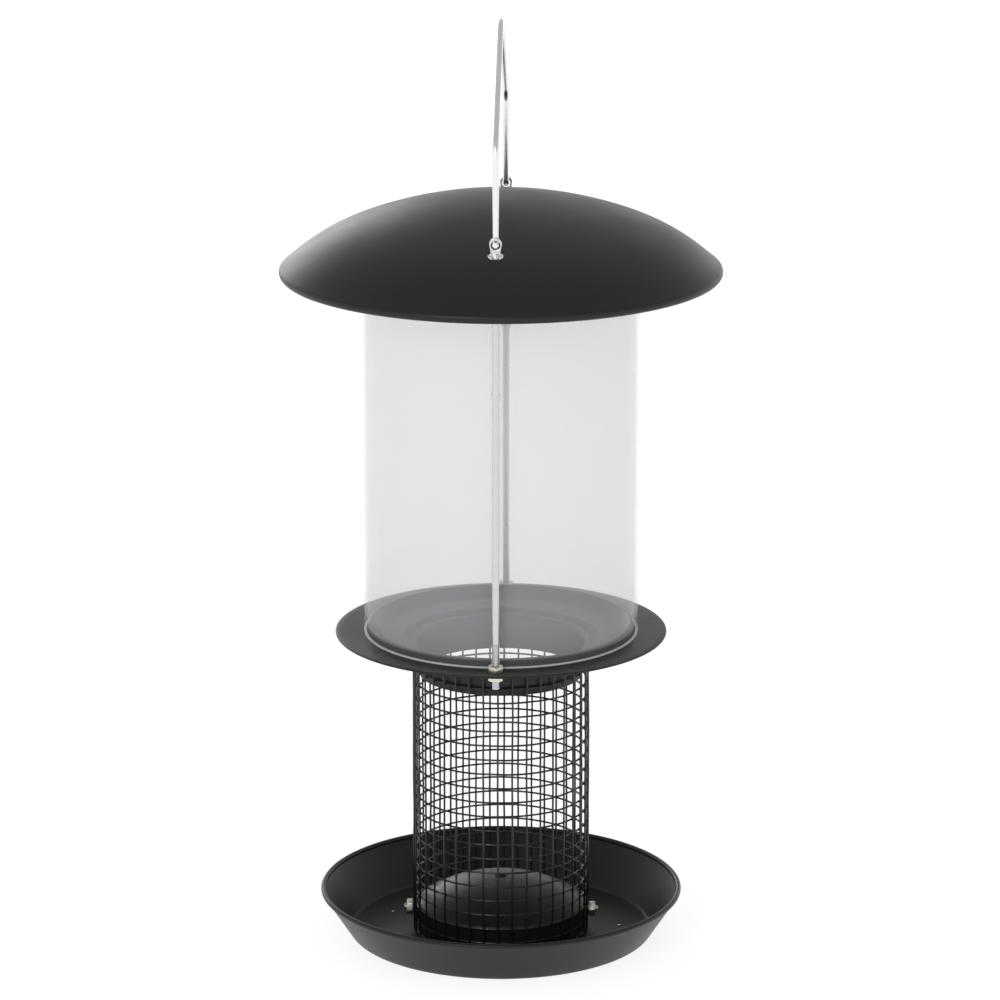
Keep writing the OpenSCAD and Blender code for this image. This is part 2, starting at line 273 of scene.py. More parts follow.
LIP_R = 0.0013
TRAY_H = 0.024
FOOT_R = 0.0765
FOOT_BEND = 0.003
BOSS_BEND = 0.0012
BOSS_RISE = 0.0127
BOSS_INSET = 0.0023
BOSS_HOLE_R = 0.003
DRAINS = 7
DRAIN_R = 0.0016
DRAIN_TURN = 5
SCREW_HOLE_R = 0.0023
WALL_RINGS = (0.2, 0.4, 0.6, 0.8)
FLOOR_RINGS = (0.068, 0.064, 0.0603, 0.056, 0.051, 0.047)
BOSS_RINGS = (0.006, 0.010, 0.013)
tray_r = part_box("base_tray")[1].x
boss_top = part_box("base_tray")[1].z
mesh_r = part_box("mesh_uprights")[1].x
nut_low, nut_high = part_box("right_tray_nut")
screw_z = (nut_low.z + nut_high.z) / 2
boss_r = mesh_r - BOSS_INSET
drain_ring_r = (mesh_r + FOOT_R) / 2

crown_r = (boss_r ** 2 + BOSS_RISE ** 2) / (2 * BOSS_RISE)
crown_centre = boss_top - crown_r
crown_end = math.degrees(math.acos(boss_r / crown_r))
crown_start = math.degrees(math.acos(BOSS_HOLE_R / crown_r))
boss_corner = (boss_r, boss_top - BOSS_RISE)
lip_centre = (tray_r - LIP_R, TRAY_H - LIP_R)
wall_top = (lip_centre[0] - SHEET / 2, lip_centre[1])
foot_corner = (FOOT_R - SHEET / 2, SHEET)
floor_corner = (boss_r, SHEET)
crown_line = arc((0, crown_centre), crown_r, crown_end, crown_start, 14)
tray_line = (
    [wall_top]
    + [
        (wall_top[0] + (foot_corner[0] - wall_top[0]) * t, wall_top[1] + (foot_corner[1] - wall_top[1]) * t)
        for t in WALL_RINGS
    ]
    + rounded(wall_top, foot_corner, floor_corner, FOOT_BEND)
    + [(r, SHEET) for r in FLOOR_RINGS]
    + rounded(foot_corner, floor_corner, boss_corner, BOSS_BEND)
    + [(boss_r, z) for z in BOSS_RINGS]
    + rounded((boss_r, 0.005), boss_corner, crown_line[2], 0.0012, 4)
    + crown_line[2:]
)
tray_under = beside(tray_line, -SHEET)
lip = arc(lip_centre, LIP_R, 250, -70, 16)
base_tray = spun("base_tray_shell", tray_line[::-1] + lip[1:-1] + tray_under)
for i in range(DRAINS):
    angle = math.radians(DRAIN_TURN + i * 360 / DRAINS)
    cut(base_tray, DRAIN_R, 0.006, (drain_ring_r * math.cos(angle), drain_ring_r * math.sin(angle), 0))
cut(base_tray, SCREW_HOLE_R, 0.1, (0, 0, screw_z), (0, math.pi / 2, 0))
finish_piece(base_tray, black_coat, "feeder", ["base_tray"])

# ---- Mesh cylinder ----------------------------------------------------------------------------
# Galvanised wires welded into a square mesh, rolled to a cylinder and dipped black. The upright
# wires are outside and the hoops inside, and the ends of the rolled sheet overlap at a seam.

WIRE_R = 0.0005
NEAR_PITCH = 0.00745
SEAM_ANGLE = 168.9
SEAM_LENGTH = 0.0085
DENT_SIZE = 0.03
DENT_DEPTH = 0.0007
mesh_low, mesh_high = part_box("mesh_uprights")
upright_ring_r = mesh_r - WIRE_R
hoop_ring_r = upright_ring_r - 2 * WIRE_R
hoop_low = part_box("mesh_hoops")[0].z + WIRE_R
hoop_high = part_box("mesh_hoops")[1].z - WIRE_R
hoop_count = round((hoop_high - hoop_low) / NEAR_PITCH) + 1
hoop_pitch = (hoop_high - hoop_low) / (hoop_count - 1)
upright_count = 2 * round(math.pi * upright_ring_r / hoop_pitch)


def dipped_wire():
    """Semi-gloss black dip over drawn wire, thicker in places."""
    dip = Finish("black_dip", Metallic=0.0, IOR=1.5)
    runs = dip.noise(700, detail=3)
    colour = dip.blend(runs, (0.0045, 0.0045, 0.0052), (0.010, 0.010, 0.011))
    gloss = dip.between(runs, 0.3, 0.7, 0.26, 0.4)
    return dip.set(Base_Color=colour, Roughness=gloss, Normal=dip.bump(runs, 0.00012, 0.6))


def put(piece, move=(0, 0, 0), turn=(0, 0, 0)):
    """Turns and moves a piece about the origin, and keeps its place in its mesh."""
    start_piece()
    piece.select_set(True)
    bpy.context.view_layer.objects.active = piece
    piece.rotation_euler = turn
    piece.location = move
    bpy.ops.object.transform_apply(location=True, rotation=True, scale=True)
    return piece


def joined(name, parts):
    """Joins parts into one piece."""
    start_piece()
    for part in parts:
        part.select_set(True)
    bpy.context.view_layer.objects.active = parts[0]
    bpy.ops.object.join()
    piece = bpy.context.object
    piece.name = name
    return piece


def copied(model):
    """A copy of a piece, with its own mesh."""
    start_piece()
    model.select_set(True)
    bpy.context.view_layer.objects.active = model
    bpy.ops.object.duplicate(linked=False)
    return bpy.context.object


def ringed(model, angles):
    """Copies of a model turned about the Z axis by each angle, in degrees, and joined to it."""
    turned = [put(copied(model), turn=(0, 0, math.radians(angle))) for angle in angles[1:]]
    put(model, turn=(0, 0, math.radians(angles[0])))
    return joined(model.name, [model] + turned)


def modified(piece, kind, **settings):
    """Adds a modifier with its settings and applies it."""
    start_piece()
    bpy.context.view_layer.objects.active = piece
    modifier = piece.modifiers.new(kind.lower(), kind)
    for key, value in settings.items():
        setattr(modifier, key, value)
    bpy.ops.object.modifier_apply(modifier=modifier.name)
    return piece


def stacked(piece):
    """One copy of a piece for each hoop of the mesh."""
    return modified(
        piece, "ARRAY", count=hoop_count, use_relative_offset=False, use_constant_offset=True,
        constant_offset_displace=(0, 0, hoop_pitch),
    )


def wire(name, start, end, steps=8, spans=1):
    """A straight wire on the Z axis, with trimmed ends."""
    ends = WIRE_R * 0.3
    rise = (end - start - 2 * ends) / spans
    section = [(ends, start), (WIRE_R - ends, start)]
    section += [(WIRE_R, start + ends + rise * i) for i in range(spans + 1)]
    return spun(name, section + [(WIRE_R - ends, end), (ends, end)], steps, closed=False)


def dented(piece):
    """Gives the wires the unevenness of a hand-rolled mesh, the same at the same place."""
    return modified(
        piece, "DISPLACE", texture=dents, texture_coords="LOCAL", direction="RGB_TO_XYZ",
        strength=DENT_DEPTH, mid_level=0.5,
    )


mesh_coat = dipped_wire()
dents = bpy.data.textures.new("mesh_dents", "CLOUDS")
dents.noise_scale = DENT_SIZE
dents.cloud_type = "COLOR"

step = 360 / upright_count
upright = put(wire("mesh_upright_wires", mesh_low.z, mesh_high.z, spans=20), (upright_ring_r, 0, 0))
uprights = ringed(upright, [(i + 0.5) * step for i in range(upright_count)] + [SEAM_ANGLE])
finish_piece(dented(uprights), mesh_coat, "feeder", ["mesh_uprights"])

start_piece()
bpy.ops.mesh.primitive_torus_add(
    major_segments=114, minor_segments=8, major_radius=hoop_ring_r, minor_radius=WIRE_R,
    location=(0, 0, hoop_low),
)
hoop = put(bpy.context.object, (0, 0, hoop_low))
seam_end = put(wire("seam_end", -SEAM_LENGTH / 2, SEAM_LENGTH / 2), turn=(math.pi / 2, 0, 0))
put(seam_end, (hoop_ring_r, 0, hoop_low - 2 * WIRE_R))
put(seam_end, turn=(0, 0, math.radians(SEAM_ANGLE)))
start_piece()
bpy.ops.mesh.primitive_ico_sphere_add(
    subdivisions=1, radius=1, location=((upright_ring_r + hoop_ring_r) / 2, 0, hoop_low),
    scale=(WIRE_R * 1.2, WIRE_R * 1.5, WIRE_R * 1.4),
)
bead = bpy.context.object
bpy.ops.object.transform_apply(location=True, rotation=True, scale=True)
beads = ringed(bead, [(i + 0.5) * step for i in range(upright_count)] + [SEAM_ANGLE])
hoops = stacked(joined("mesh_hoop_wires", [hoop, seam_end, beads]))
finish_piece(dented(hoops), mesh_coat, "feeder", ["mesh_hoops"])

# ---- Seed tray --------------------------------------------------------------------------------
# The middle tray: a spun and powder-coated disc with a flat brim for the birds, a raised ridge
# that the tube stands around, and a funnel whose neck is spot welded inside the top of the mesh.

RIDGE_H = 0.0042
RIDGE_INSET = 0.0019
RIDGE_BEND = 0.0011
RIDGE_TOP_W = 0.0023
PAN_DROP = 0.002
PAN_FALL = 0.0013
PAN_BEND = 0.001
PAN_SHARE = 0.7
STEP_W = 0.0015
STEP_H = 0.0022
LIP_W = 0.0056
LIP_FALL = 0.0005
NECK_INSET = 0.0031
NECK_BEND = 0.0035
NECK_TAPER = 0.0014
TAPER_RUN = 0.006
BRIM_RINGS = (0.0795, 0.0772, 0.075, 0.0728, 0.069)
BEND_STEPS = 5
NECK_STEPS = 8
ROD_HOLE_R = 0.0023
WELDS = 6
WELD_DROP = 0.015
WELD_SIZE = (0.0003, 0.0014, 0.0014)
brim_low, brim_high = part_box("seed_tray")
tube_low, tube_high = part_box("hopper_tube")
brim_z = tube_low.z
brim_r = brim_high.x
neck_drop = brim_z - brim_low.z - SHEET * math.sin(math.atan(NECK_TAPER / TAPER_RUN))
ridge_r = tube_high.x - RIDGE_INSET
ridge_z = brim_z + RIDGE_H
neck_r = mesh_r - NECK_INSET
step_r = neck_r + LIP_W
pan_r = step_r + STEP_W
slope_r = pan_r + (ridge_r - RIDGE_TOP_W - pan_r) * PAN_SHARE
lip_z = brim_z - PAN_DROP - PAN_FALL - STEP_H
rod_low, rod_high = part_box("rear_rod")
rod_y = (rod_low.y + rod_high.y) / 2

bends = [
    (brim_r - SHEET / 2, brim_z, 0),
    (ridge_r, brim_z, 0.0003),
    (ridge_r, ridge_z, RIDGE_BEND),
    (ridge_r - RIDGE_TOP_W, ridge_z, RIDGE_BEND),
    (slope_r, brim_z - PAN_DROP, 2 * PAN_BEND),
    (pan_r, brim_z - PAN_DROP - PAN_FALL, PAN_BEND),
    (step_r, lip_z, PAN_BEND),
    (neck_r, lip_z - LIP_FALL, NECK_BEND),
    (neck_r, brim_z - neck_drop + TAPER_RUN, 0),
    (neck_r - NECK_TAPER, brim_z - neck_drop, 0),
]
brim_line = [(r, brim_z) for r in (bends[0][0], *BRIM_RINGS)]
for before, (r, z, bend), after in zip(bends, bends[1:], bends[2:]):
    bend_steps = NECK_STEPS if bend == NECK_BEND else BEND_STEPS
    brim_line += rounded(before[:2], (r, z), after[:2], bend, bend_steps) if bend else [(r, z)]
brim_line.append(bends[-1][:2])
brim_edge = arc((brim_r - SHEET / 2, brim_z - SHEET / 2), SHEET / 2, -90, 90, 6)[1:-1]
seed_tray = spun("seed_tray_shell", brim_line + beside(brim_line, -SHEET)[::-1] + brim_edge)
for side in (-1, 1):
    cut(seed_tray, ROD_HOLE_R, 0.004, (0, side * rod_y, brim_z))


def coat_with_painted_light():
    """Powder coat with painted light: the pan and the neck's lip are painted paler, as where light falls on
    their upward faces.
    """
    coat, cloud, colour, gloss, surface = clean_coat("powder_coat_with_painted_light")
    across, along, _ = coat.node("ShaderNodeSeparateXYZ", {}, coat.place)
    radius = (across * across + along * along).maths("SQRT")
    pan = coat.between(radius, pan_r - 0.0004, pan_r + 0.0008)
    pan *= coat.between(radius, slope_r - 0.0005, slope_r + 0.0008, 1, 0)
    lip = coat.between(radius, neck_r + 0.0012, neck_r + 0.0026)
    lip *= coat.between(radius, step_r - 0.0008, step_r, 1, 0)
    # Painted light, not seed dust: the pan and lip bands are made paler, as where light falls on their
    # upward faces, and a little rougher.
    dust_and_painted_light = (pan * 0.5 + lip * 0.22) * coat.between(cloud, 0.25, 0.75, 0.7, 1)
    colour = coat.blend(dust_and_painted_light, colour, (0.17, 0.17, 0.18))
    return coat.set(Base_Color=colour, Roughness=gloss + dust_and_painted_light * 0.1, Normal=surface)


start_piece()
bpy.ops.mesh.primitive_uv_sphere_add(
    segments=16, ring_count=8, radius=1, location=(neck_r, 0, brim_z - WELD_DROP), scale=WELD_SIZE
)
weld = bpy.context.object
weld.name = "neck_spot_welds"
bpy.ops.object.transform_apply(location=True, rotation=True, scale=True)
welds = ringed(weld, [(i + 0.5) * 360 / WELDS for i in range(WELDS)])
finish_piece(welds, black_coat, "feeder")
finish_piece(seed_tray, coat_with_painted_light(), "feeder", ["seed_tray"])

# ---- Seed tube --------------------------------------------------------------------------------
# A clear plastic tube that holds the seed. It stands around the tray's ridge and the roof closes
# it. Its cut ends are square, and handling leaves fine upright scuffs on it.

TUBE_STEPS = 224
TUBE_WALL = 0.0015
EDGE = 0.0002
SAWN_W = 0.0012
SAWN_H = 0.0006
SAWN_PROUD = 0.00003
tube_r = tube_high.x


def clear_plastic():
    """Clear plastic with upright scuffs and a slight bluish haze, except around the ridge."""
    clear = Finish("clear_tube_plastic", Metallic=0.0, IOR=1.5)
    clear.shader.inputs["Base Color"].default_value = (0.70, 0.705, 0.74, 1)
    scuffs = clear.noise(420, detail=4, roughness=0.65, stretch=(1, 1, 0.06))
    waves = clear.noise(24, detail=2, stretch=(1, 1, 0.25))
    scuffed = clear.between(scuffs, 0.55, 0.8)
    edge_on = clear.node("ShaderNodeLayerWeight", {}, 0.5)[1]
    height = clear.node("ShaderNodeSeparateXYZ", {}, clear.place)[2]
    above_ridge = clear.between(height, brim_z + 0.85 * RIDGE_H, brim_z + 1.1 * RIDGE_H, 0.25, 1)
    haze = (scuffed * 0.012 + edge_on * edge_on * edge_on * 0.05 + 0.195) * above_ridge
    gloss = scuffed * 0.08 + 0.05
    return clear.set(Alpha=haze, Roughness=gloss, Normal=clear.bump(waves, 0.0004, 0.15))


def frost_and_painted_glint():
    """The frosted face that a saw leaves on the tube's end, pale enough to serve also as a painted glint of
    the cut edge: partly frost, partly painted highlight.
    """
    sawn = Finish("tube_end_frost_and_painted_glint", Metallic=0.0, IOR=1.5)
    teeth = sawn.noise(1800, detail=3)
    colour = sawn.blend(teeth, (0.55, 0.56, 0.58), (0.85, 0.86, 0.88))
    gloss = sawn.between(teeth, 0.3, 0.7, 0.35, 0.6)
    return sawn.set(Base_Color=colour, Roughness=gloss, Normal=sawn.bump(teeth, 0.0001, 0.6))


tube_plastic = clear_plastic()
inner_r = tube_r - TUBE_WALL
tube = spun(
    "clear_seed_tube",
    [(inner_r, tube_low.z + EDGE), (inner_r, tube_high.z - EDGE), (inner_r + EDGE, tube_high.z),
     (tube_r - EDGE, tube_high.z), (tube_r, tube_high.z - EDGE), (tube_r, tube_low.z + EDGE),
     (tube_r - EDGE, tube_low.z), (inner_r + EDGE, tube_low.z)],
    TUBE_STEPS,
)
finish_piece(tube, tube_plastic, "feeder", ["hopper_tube"], 30)
# A pale ring at the tube's foot, standing a little proud of the wall: partly the saw's frost, partly a
# painted glint along the bottom edge.
sawn_end = spun(
    "tube_foot_frost_and_glint_band",
    [(tube_r - SAWN_W, tube_low.z), (tube_r - SAWN_W, tube_low.z + SAWN_H),
     (tube_r + SAWN_PROUD, tube_low.z + SAWN_H), (tube_r + SAWN_PROUD, tube_low.z)],
    TUBE_STEPS,
)
finish_piece(sawn_end, frost_and_painted_glint(), "feeder")

# ---- Tie rods -----------------------------------------------------------------------------------
# Two steel rods that tie the bail to the seed tray. Each has a rolled thread at its foot,
# two wings pinched out of it, and its top hammered flat and punched for the bail. Zinc plated.

ROD_R = 0.00175
THREAD_R = 0.002
THREAD_PITCH = 0.0007
THREAD_CORE = 0.00172
THREAD_HEIGHT = 0.44
THREAD_RUN = 0.0148
ROD_BEVEL = 0.0004
TAB_R = 0.0031
TAB_T = 0.0016
TAB_RISE = 0.0006
TAB_LENGTH = 0.0036
WAIST = 0.8
EYE_R = 0.0022
EYE_BEVEL = 0.0003
HIGH_EAR = (0.0034, 0.0013)
HIGH_EAR_DROP = 0.005
LOW_EAR = (0.0025, 0.0019)
LOW_EAR_DROP = 0.07
eye_z = rod_high.z - TAB_R - TAB_RISE


def zinc_plate(name, low, high, gloss_low, gloss_high):
    """Zinc plating between two tints, with fine drawing lines and a cloudy bloom."""
    zinc = Finish(name, Metallic=1.0)
    cloud = zinc.noise(260, detail=4, roughness=0.6)
    lines = zinc.noise(3000, detail=2, stretch=(1, 1, 0.03))
    spots = zinc.between(zinc.noise(1400, detail=4, roughness=0.7), 0.6, 0.75)
    colour = zinc.blend(cloud, low, high)
    colour = zinc.blend(spots * 0.35, colour, (0.30, 0.29, 0.27))
    gloss = zinc.between(cloud, 0.3, 0.7, gloss_low, gloss_high) + spots * 0.1
    return zinc.set(Base_Color=colour, Roughness=gloss, Normal=zinc.bump(lines, 0.00002, 0.5))


def thread(start, length, radius=THREAD_R):
    """The ridge of a rolled thread, wound up the Z axis and closed at both ends."""
    start_piece()
    height = THREAD_HEIGHT * THREAD_PITCH
    bpy.ops.mesh.primitive_circle_add(
        vertices=3, radius=height, location=(radius - height, 0, start),
        rotation=(math.pi / 2, math.pi / 2, 0),
    )
    ridge = bpy.context.object
    ridge.name = "thread"
    bpy.ops.object.transform_apply(location=True, rotation=True, scale=True)
    modified(
        ridge, "SCREW", axis="Z", angle=2 * math.pi, screw_offset=THREAD_PITCH,
        iterations=round(length / THREAD_PITCH), steps=18, render_steps=18,
    )
    bpy.ops.object.mode_set(mode="EDIT")
    bpy.ops.mesh.select_all(action="SELECT")
    bpy.ops.mesh.remove_doubles(threshold=1e-7)
    bpy.ops.mesh.fill_holes(sides=3)
    bpy.ops.mesh.normals_make_consistent(inside=False)
    bpy.ops.object.mode_set(mode="OBJECT")
    return ridge


def shaped(piece, picked, move=(0, 0, 0), size=(1, 1, 1), centre=(0, 0, 0)):
    """Moves and resizes the vertices of a piece that are picked by their place."""
    start_piece()
    bpy.context.view_layer.objects.active = piece
    for part in (piece.data.polygons, piece.data.edges):
        for element in part:
            element.select = False
    for v in piece.data.vertices:
        v.select = picked(v.co)
    bpy.ops.object.mode_set(mode="EDIT")
    bpy.ops.transform.resize(value=size, center_override=centre)
    bpy.ops.transform.translate(value=move)
    bpy.ops.object.mode_set(mode="OBJECT")
    return piece


def wings(z, half_width, half_height):
    """The two wings that a pinch squeezes out of a rod."""
    start_piece()
    bpy.ops.mesh.primitive_uv_sphere_add(
        segments=20, ring_count=12, radius=1, location=(0, 0, z),
        scale=(half_width, TAB_T * 0.48, half_height),
    )
    pinch = bpy.context.object
    bpy.ops.object.transform_apply(location=True, rotation=True, scale=True)
    return pinch


def tab():
    """The flattened end of a rod, rounded over the eye and narrower at its root."""
    start_piece()
    head_z = eye_z + TAB_RISE
    bpy.ops.mesh.primitive_circle_add(
        vertices=40, radius=TAB_R, fill_type="NGON", location=(0, -TAB_T / 2, head_z),
        rotation=(math.pi / 2, 0, 0),
    )
    plate = bpy.context.object
    bpy.ops.object.transform_apply(location=True, rotation=True, scale=True)
    shaped(plate, lambda co: co.z < head_z - 1e-6, (0, 0, -TAB_LENGTH), (WAIST, 1, 1), (0, 0, head_z))
    bpy.ops.object.mode_set(mode="EDIT")
    bpy.ops.mesh.select_all(action="SELECT")
    bpy.ops.mesh.extrude_region_move(TRANSFORM_OT_translate={"value": (0, TAB_T, 0)})
    bpy.ops.mesh.select_all(action="SELECT")
    bpy.ops.mesh.normals_make_consistent(inside=False)
    bpy.ops.object.mode_set(mode="OBJECT")
    cut(plate, EYE_R, 0.01, (0, 0, eye_z), (math.pi / 2, 0, 0))
    return modified(
        plate, "BEVEL", width=EYE_BEVEL, segments=3, limit_method="ANGLE", angle_limit=math.radians(40)
    )


def tie_rod(name):
    """A whole rod on the Z axis, with its tab facing along Y."""
    foot = rod_low.z
    run_out = brim_z + THREAD_RUN
    swage = eye_z - HIGH_EAR_DROP
    shank = spun(
        name,
        [(POLE_R, foot), (THREAD_CORE - ROD_BEVEL, foot), (THREAD_CORE, foot + ROD_BEVEL),
         (THREAD_CORE, run_out),
         (ROD_R, run_out + 0.0003), (ROD_R, swage - 0.002), (ROD_R, swage), (ROD_R, swage + 0.0012),
         (ROD_R - 0.0006, swage + 0.0022), (POLE_R, swage + 0.0024)],
        28, closed=False,
    )
    shaped(shank, lambda co: co.z > swage + 0.0006, size=(1.3, 0.42, 1))
    pieces = [
        shank, thread(foot + THREAD_PITCH, run_out - foot - 2 * THREAD_PITCH), tab(),
        wings(swage, *HIGH_EAR), wings(tube_high.z - LOW_EAR_DROP, *LOW_EAR),
    ]
    return joined(name, pieces)


rod_finish = zinc_plate("zinc_rod", (0.58, 0.58, 0.59), (0.70, 0.70, 0.71), 0.26, 0.38)
for name, side in (("front_tie_rod", -1), ("rear_tie_rod", 1)):
    rod = put(tie_rod(name), (0, side * rod_y, 0), (0, 0, math.pi if side > 0 else 0))
    finish_piece(rod, rod_finish, "feeder", [name.replace("_tie", "")])

# ---- Nuts ---------------------------------------------------------------------------------------
# Six pressed steel nuts: one above and one below the brim on each rod, and one on each tray
# screw outside the mesh. Their corners are chamfered on both faces. Zinc plated and passivated.

NUT_BEVEL = 0.0004
NUT_TURNS = {
    "front_upper_nut": 5, "front_lower_nut": -2, "rear_upper_nut": 21, "rear_lower_nut": 13,
    "left_tray_nut": 17, "right_tray_nut": -9,
}
nut_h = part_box("front_upper_nut")[1].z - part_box("front_upper_nut")[0].z
flats_r = (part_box("front_upper_nut")[1].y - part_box("front_upper_nut")[0].y) / 2
corners_r = flats_r / math.cos(math.radians(30))


def hex_nut():
    """A nut on the Z axis, centred on the origin, chamfered outside and in its bore."""
    start_piece()
    bpy.ops.mesh.primitive_cylinder_add(vertices=6, radius=corners_r, depth=nut_h)
    blank = put(bpy.context.object, turn=(0, 0, math.radians(30)))
    half = nut_h / 2
    reach = corners_r * 1.02
    turned = spun(
        "chamfer",
        [(POLE_R, -half), (flats_r * 0.97, -half), (reach, NUT_BEVEL - half), (reach, half - NUT_BEVEL),
         (flats_r * 0.97, half), (POLE_R, half)],
        72, closed=False,
    )
    modified(blank, "BOOLEAN", operation="INTERSECT", object=turned)
    bpy.data.objects.remove(turned)
    sink = THREAD_R + 0.0003
    bore = spun(
        "bore",
        [(POLE_R, -half - 0.001), (sink + 0.001, -half - 0.001), (sink - 0.0005, 0.0005 - half),
         (sink - 0.0005, half - 0.0005), (sink + 0.001, half + 0.001), (POLE_R, half + 0.001)],
        36, closed=False,
    )
    modified(blank, "BOOLEAN", operation="DIFFERENCE", object=bore)
    bpy.data.objects.remove(bore)
    return modified(
        blank, "BEVEL", width=0.00007, segments=2, limit_method="ANGLE", angle_limit=math.radians(25)
    )


nut_finish = zinc_plate("zinc_nut", (0.60, 0.58, 0.53), (0.76, 0.74, 0.68), 0.24, 0.40)
nut_model = hex_nut()
for name, turn in NUT_TURNS.items():
    low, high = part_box(name)
    nut = put(copied(nut_model), turn=(0, 0, math.radians(turn - 30)))
    if "tray" in name:
        put(nut, turn=(0, math.pi / 2, 0))
    put(nut, (low + high) / 2)
    nut.name = name.replace("nut", "hex_nut")
    finish_piece(nut, nut_finish, "feeder", [name], 25)
bpy.data.objects.remove(nut_model)

# ---- Tray screws --------------------------------------------------------------------------------
# Two pan-head screws that hold the mesh on the catch tray's boss. Their heads are inside the boss,
# with a cross recess, and their threaded ends stand out of the nuts. Zinc plated.

HEAD_R = 0.0035
HEAD_H = 0.0024
HEAD_ROUND = 0.0014
SLOT = (0.0024, 0.0008, 0.0014)
screw_low, screw_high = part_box("right_tray_screw")


def pan_screw():
    """A screw on the Z axis, with its head's outer face at the origin."""
    length = screw_high.x - screw_low.x
    turns = [math.radians(t) for t in (75, 50, 25, 0)]
    dome = [(HEAD_R - HEAD_ROUND * (1 - math.cos(a)), HEAD_ROUND - HEAD_ROUND * math.sin(a)) for a in turns]
    screw = spun(
        "pan_screw",
        [(POLE_R, 0)] + dome
        + [(HEAD_R, HEAD_H - 0.0001), (HEAD_R - 0.0001, HEAD_H), (THREAD_CORE, HEAD_H),
           (THREAD_CORE, length - 0.0005), (THREAD_CORE - 0.0005, length), (POLE_R, length)],
        36, closed=False,
    )
    for turn in (0, math.pi / 2):
        start_piece()
        bpy.ops.mesh.primitive_cube_add(size=1, rotation=(0, 0, turn), scale=(SLOT[0], SLOT[1], 2 * SLOT[2]))
        recess = bpy.context.object
        modified(screw, "BOOLEAN", operation="DIFFERENCE", object=recess)
        bpy.data.objects.remove(recess)
    return joined("pan_screw", [screw, thread(HEAD_H + THREAD_PITCH, length - HEAD_H - 2 * THREAD_PITCH)])


screw_model = pan_screw()
for name, side in (("left_tray_screw", -1), ("right_tray_screw", 1)):
    screw = put(copied(screw_model), turn=(0, side * math.pi / 2, 0))
    put(screw, (side * screw_low.x, 0, screw_z))
    screw.name = name.replace("screw", "pan_screw")
    finish_piece(screw, nut_finish, "feeder", [name])
bpy.data.objects.remove(screw_model)

# ---- Roof -------------------------------------------------------------------------------------
# A domed lid spun from sheet steel with its rim rolled under, powder coated black. It rests on
# the tube's end, and two holes let it slide up over the rods' tabs and along the bail.

CROWN_R = 0.203
SHOULDER_R = 0.106
BEAD_R = 0.0025
ROOF_HOLE_R = 0.004
ROOF_HOLE_INSET = 0.00075
roof_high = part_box("roof_dome")[1]
roof_r = roof_high.x
crown_turn = math.asin(rod_y / CROWN_R)
crown_z = roof_high.z - CROWN_R
shoulder_z = crown_z + (CROWN_R - SHOULDER_R) * math.cos(crown_turn)
shoulder_x = (CROWN_R - SHOULDER_R) * math.sin(crown_turn)
bead_x = roof_r - BEAD_R
shoulder_turn = math.asin((bead_x - shoulder_x) / SHOULDER_R)
edge_z = shoulder_z + SHOULDER_R * math.cos(shoulder_turn)
bead_z = edge_z - BEAD_R - SHEET / 2

crown_steps = 30
crown_angles = [crown_turn * (i + 0.1) / crown_steps for i in range(crown_steps)]
crown_outer = [(CROWN_R * math.sin(a), crown_z + CROWN_R * math.cos(a)) for a in crown_angles]
shoulder_outer = arc(
    (shoulder_x, shoulder_z), SHOULDER_R, 90 - math.degrees(crown_turn), 90 - math.degrees(shoulder_turn), 14
)
roof_outer = crown_outer + shoulder_outer
roof_inner = beside(roof_outer, SHEET)
bead = arc((bead_x, bead_z), BEAD_R, 62, -215, 20)
roof_shell = spun("roof_shell", roof_outer[:-1] + bead + roof_inner[::-1][1:], closed=False)
for side in (-1, 1):
    cut(roof_shell, ROOF_HOLE_R, 0.04, (0, side * (rod_y - ROOF_HOLE_INSET), roof_high.z - 0.014), sides=48)
finish_piece(roof_shell, black_coat, "roof", ["roof_dome"])

# ---- Bail ---------------------------------------------------------------------------------------
# The handle that the feeder hangs from: one length of bright drawn wire, bent to a point at the
# top, with each end bent outwards through the eye of a rod, where it turns.

BAIL_R = 0.0016
HOOK_BEND = 0.0024
ARM_BEND = 0.010
APEX_BEND = 0.012
SLOPE = math.radians(35)
LEG_INSET = 0.0026
HOOK_REACH = 0.0011
TIP_DOME = 0.0004
BAIL_STEPS = 20
bail_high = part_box("bail")[1]


def plated_wire():
    """Bright drawn wire with die lines along it and a few scuffs."""
    wire_coat = Finish("bright_wire", Metallic=1.0)
    lines = wire_coat.noise(2500, detail=2, stretch=(1, 1, 0.03))
    scuffs = wire_coat.between(wire_coat.noise(500, detail=5, roughness=0.7), 0.58, 0.74)
    colour = wire_coat.blend(lines, (0.78, 0.78, 0.78), (0.92, 0.92, 0.91))
    colour = wire_coat.blend(scuffs * 0.4, colour, (0.45, 0.45, 0.45))
    gloss = wire_coat.between(lines, 0.3, 0.7, 0.2, 0.32) + scuffs * 0.12
    return wire_coat.set(Base_Color=colour, Roughness=gloss, Normal=wire_coat.bump(lines, 0.00001, 0.4))


def sweep(start, moves):
    """A wire that starts as a ring facing along Y. Each move is a run, as a vector, or a bend, as an
    angle about X and the bend's centre."""
    start_piece()
    bpy.ops.mesh.primitive_circle_add(
        vertices=BAIL_STEPS, radius=BAIL_R, location=start, rotation=(math.pi / 2, 0, 0)
    )
    piece = bpy.context.object
    bpy.ops.object.transform_apply(location=True, rotation=True, scale=True)
    bpy.ops.object.mode_set(mode="EDIT")
    bpy.ops.mesh.select_all(action="SELECT")
    for move in moves:
        if len(move) == 3:
            bpy.ops.mesh.extrude_region_move(TRANSFORM_OT_translate={"value": move})
        else:
            angle, centre = move
            bpy.ops.mesh.spin(steps=12, angle=-angle, center=centre, axis=(1, 0, 0))
    bpy.ops.object.mode_set(mode="OBJECT")
    return piece


